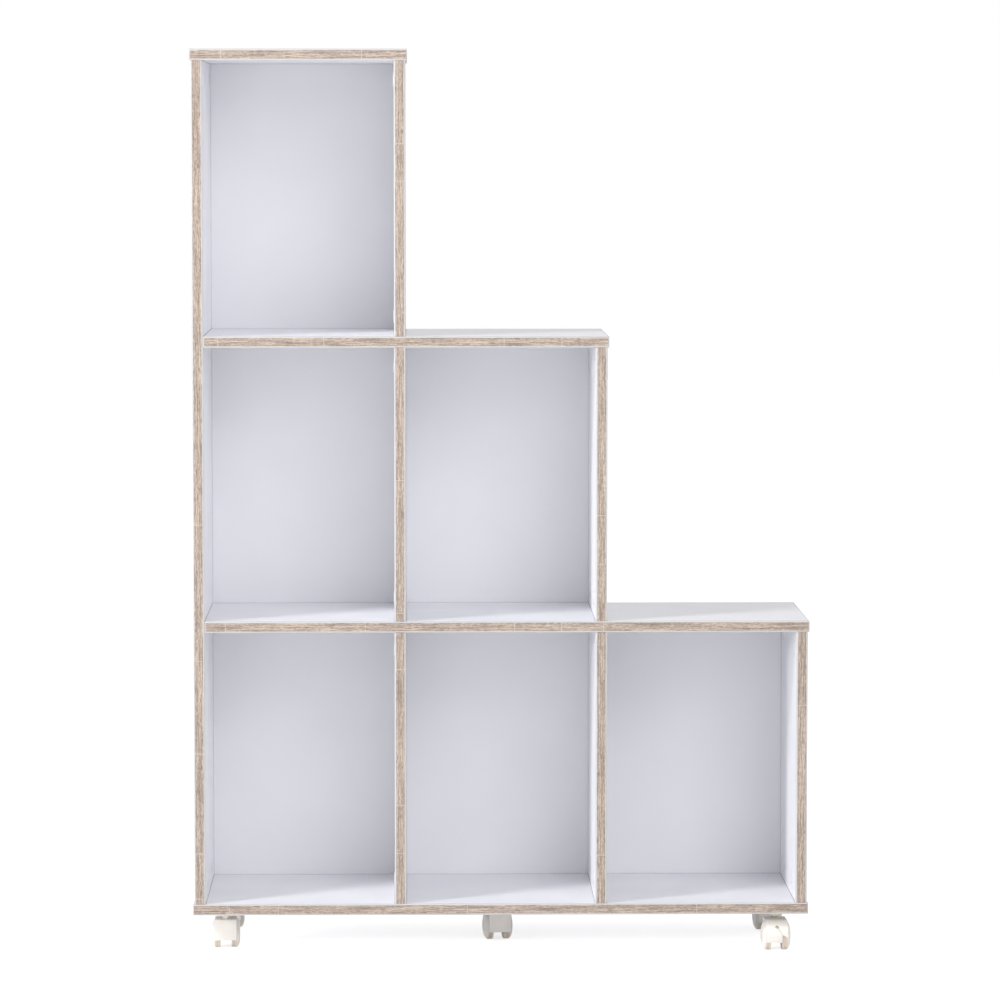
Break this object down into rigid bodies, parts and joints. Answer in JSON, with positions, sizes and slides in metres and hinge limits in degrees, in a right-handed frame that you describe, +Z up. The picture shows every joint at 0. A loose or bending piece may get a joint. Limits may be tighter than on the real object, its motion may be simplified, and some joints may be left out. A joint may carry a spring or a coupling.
{
  "type": "staircase bookshelf",
  "caption": "Stepped open bookcase of white boards with pale wood-grain front edges, closed back and open cubbies, rolling on swivel twin-wheel casters.",
  "frame": {"origin": "on the floor under the middle of the footprint", "axes": "+Z up; the open fronts face -Y; the steps go down towards +X"},
  "size_m": [0.805, 0.253, 1.1793],
  "materials": {
    "white_board": "white melamine face, satin",
    "wood_print_edge": "pale oak print on a plastic edge band, white where the edges are trimmed round",
    "white_back": "white painted hardboard, matt",
    "white_nylon_hood": "moulded nylon",
    "white_nylon_wheel": "moulded nylon",
    "white_cap": "moulded, satin",
    "zinc_plated_steel": "zinc plated",
    "zinc_casting": "bare casting",
    "steel_axle": "drawn",
    "spring_steel": "oiled",
    "bright_nail": "bright",
    "beech": "fluted beech"
  },
  "bodies": {
    "carcass": {"bottom_panel": "white_board", "lower_shelf": "white_board", "upper_shelf": "white_board", "top_panel": "white_board", "left_side_panel": "white_board", "bottom_row_left_divider": "white_board", "bottom_row_right_divider": "white_board", "bottom_row_right_side": "white_board", "middle_row_divider": "white_board", "middle_row_right_side": "white_board", "top_row_right_side": "white_board", "bottom_panel_edge_band": "wood_print_edge", "lower_shelf_edge_band": "wood_print_edge", "upper_shelf_edge_band": "wood_print_edge", "top_panel_edge_band": "wood_print_edge", "left_side_panel_edge_band": "wood_print_edge", "bottom_row_left_divider_edge_band": "wood_print_edge", "bottom_row_right_divider_edge_band": "wood_print_edge", "bottom_row_right_side_edge_band": "wood_print_edge", "middle_row_divider_edge_band": "wood_print_edge", "middle_row_right_side_edge_band": "wood_print_edge", "top_row_right_side_edge_band": "wood_print_edge", "back_panel_left": "white_back", "back_panel_middle": "white_back", "back_panel_right": "white_back", "wooden_dowels": "beech", "cam_bolts": "zinc_plated_steel", "cam_locks": "zinc_casting", "cam_cover_caps": "white_cap", "back_panel_nails": "bright_nail", "caster_screws": "zinc_plated_steel", "caster_kingpins": "zinc_plated_steel", "caster_grip_rings": "spring_steel", "front_left_caster_plate": "zinc_plated_steel", "front_right_caster_plate": "zinc_plated_steel", "middle_caster_plate": "zinc_plated_steel", "rear_left_caster_plate": "zinc_plated_steel", "rear_right_caster_plate": "zinc_plated_steel"},
    "front_left_swivel": {"front_left_caster_hood": "white_nylon_hood", "front_left_caster_axle": "steel_axle"},
    "front_left_left_roller": {"front_left_caster_left_wheel": "white_nylon_wheel"},
    "front_left_right_roller": {"front_left_caster_right_wheel": "white_nylon_wheel"},
    "front_right_swivel": {"front_right_caster_hood": "white_nylon_hood", "front_right_caster_axle": "steel_axle"},
    "front_right_left_roller": {"front_right_caster_left_wheel": "white_nylon_wheel"},
    "front_right_right_roller": {"front_right_caster_right_wheel": "white_nylon_wheel"},
    "middle_swivel": {"middle_caster_hood": "white_nylon_hood", "middle_caster_axle": "steel_axle"},
    "middle_left_roller": {"middle_caster_left_wheel": "white_nylon_wheel"},
    "middle_right_roller": {"middle_caster_right_wheel": "white_nylon_wheel"},
    "rear_left_swivel": {"rear_left_caster_hood": "white_nylon_hood", "rear_left_caster_axle": "steel_axle"},
    "rear_left_left_roller": {"rear_left_caster_left_wheel": "white_nylon_wheel"},
    "rear_left_right_roller": {"rear_left_caster_right_wheel": "white_nylon_wheel"},
    "rear_right_swivel": {"rear_right_caster_hood": "white_nylon_hood", "rear_right_caster_axle": "steel_axle"},
    "rear_right_left_roller": {"rear_right_caster_left_wheel": "white_nylon_wheel"},
    "rear_right_right_roller": {"rear_right_caster_right_wheel": "white_nylon_wheel"}
  },
  "joints": [
    {"name": "front_left_caster_turn", "type": "hinge", "parent": "carcass", "child": "front_left_swivel", "pos_m": [-0.3615, -0.0815, 0.0409], "axis": [0, 0, 1], "continuous": true},
    {"name": "front_left_left_wheel_roll", "type": "hinge", "parent": "front_left_swivel", "child": "front_left_left_roller", "pos_m": [-0.36179, -0.065, 0.019], "axis": [-0.9998, -0.0175, 0], "continuous": true},
    {"name": "front_left_right_wheel_roll", "type": "hinge", "parent": "front_left_swivel", "child": "front_left_right_roller", "pos_m": [-0.36179, -0.065, 0.019], "axis": [-0.9998, -0.0175, 0], "continuous": true},
    {"name": "front_right_caster_turn", "type": "hinge", "parent": "carcass", "child": "front_right_swivel", "pos_m": [0.3615, -0.0815, 0.0409], "axis": [0, 0, 1], "continuous": true},
    {"name": "front_right_left_wheel_roll", "type": "hinge", "parent": "front_right_swivel", "child": "front_right_left_roller", "pos_m": [0.36208, -0.09799, 0.019], "axis": [0.9994, 0.0349, 0], "continuous": true},
    {"name": "front_right_right_wheel_roll", "type": "hinge", "parent": "front_right_swivel", "child": "front_right_right_roller", "pos_m": [0.36208, -0.09799, 0.019], "axis": [0.9994, 0.0349, 0], "continuous": true},
    {"name": "middle_caster_turn", "type": "hinge", "parent": "carcass", "child": "middle_swivel", "pos_m": [0, -0.024, 0.0409], "axis": [0, 0, 1], "continuous": true},
    {"name": "middle_left_wheel_roll", "type": "hinge", "parent": "middle_swivel", "child": "middle_left_roller", "pos_m": [-0.00244, -0.00768, 0.019], "axis": [-0.989, -0.1478, 0], "continuous": true},
    {"name": "middle_right_wheel_roll", "type": "hinge", "parent": "middle_swivel", "child": "middle_right_roller", "pos_m": [-0.00244, -0.00768, 0.019], "axis": [-0.989, -0.1478, 0], "continuous": true},
    {"name": "rear_left_caster_turn", "type": "hinge", "parent": "carcass", "child": "rear_left_swivel", "pos_m": [-0.3615, 0.0785, 0.0409], "axis": [0, 0, 1], "continuous": true},
    {"name": "rear_left_left_wheel_roll", "type": "hinge", "parent": "rear_left_swivel", "child": "rear_left_left_roller", "pos_m": [-0.36179, 0.095, 0.019], "axis": [-0.9998, -0.0175, 0], "continuous": true},
    {"name": "rear_left_right_wheel_roll", "type": "hinge", "parent": "rear_left_swivel", "child": "rear_left_right_roller", "pos_m": [-0.36179, 0.095, 0.019], "axis": [-0.9998, -0.0175, 0], "continuous": true},
    {"name": "rear_right_caster_turn", "type": "hinge", "parent": "carcass", "child": "rear_right_swivel", "pos_m": [0.3615, 0.0785, 0.0409], "axis": [0, 0, 1], "continuous": true},
    {"name": "rear_right_left_wheel_roll", "type": "hinge", "parent": "rear_right_swivel", "child": "rear_right_left_roller", "pos_m": [0.36294, 0.06206, 0.019], "axis": [0.9962, 0.0872, 0], "continuous": true},
    {"name": "rear_right_right_wheel_roll", "type": "hinge", "parent": "rear_right_swivel", "child": "rear_right_right_roller", "pos_m": [0.36294, 0.06206, 0.019], "axis": [0.9962, 0.0872, 0], "continuous": true}
  ]
}
